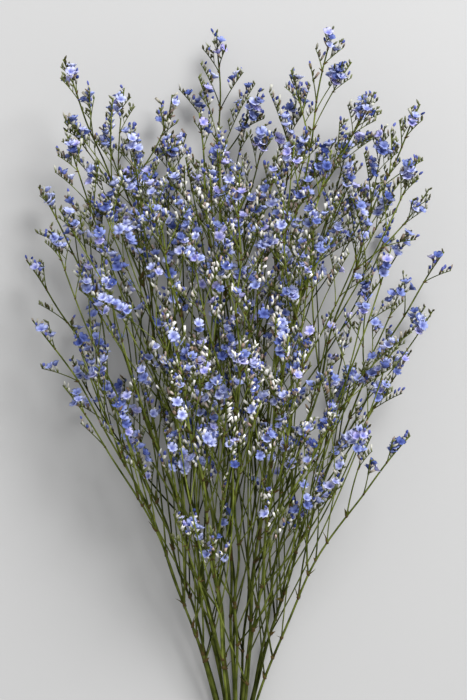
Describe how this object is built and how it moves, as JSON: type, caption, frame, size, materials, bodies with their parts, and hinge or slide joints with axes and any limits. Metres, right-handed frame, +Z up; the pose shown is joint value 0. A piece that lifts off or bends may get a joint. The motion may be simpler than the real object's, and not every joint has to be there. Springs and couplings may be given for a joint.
{
  "type": "dried statice bunch",
  "caption": "Loose bunch of dried statice, lying flat: wiry forked stems with sprays of small blue-violet blooms, held by an elastic band.",
  "frame": {"origin": "centre of the band's flat underside, on the surface that the bunch lies on", "axes": "+Y from the band along the stems to the blooms, +Z up from the surface, +X to the right with the blooms away from the viewer"},
  "size_m": [0.2645, 0.5113, 0.1102],
  "materials": {
    "statice": "dried plant: dull olive stems with papery blue-violet blooms",
    "elastic_band": "matte tan rubber"
  },
  "bodies": {
    "root": {"statice_stem_01": "statice", "statice_stem_02": "statice", "statice_stem_03": "statice", "statice_stem_04": "statice", "statice_stem_05": "statice", "statice_stem_06": "statice", "statice_stem_07": "statice", "statice_stem_08": "statice", "statice_stem_09": "statice", "statice_stem_10": "statice", "statice_stem_11": "statice", "statice_stem_12": "statice", "statice_stem_13": "statice", "statice_stem_14": "statice", "statice_stem_15": "statice", "statice_stem_16": "statice", "statice_stem_17": "statice", "statice_stem_18": "statice", "statice_stem_19": "statice", "elastic_band": "elastic_band"}
  },
  "joints": []
}
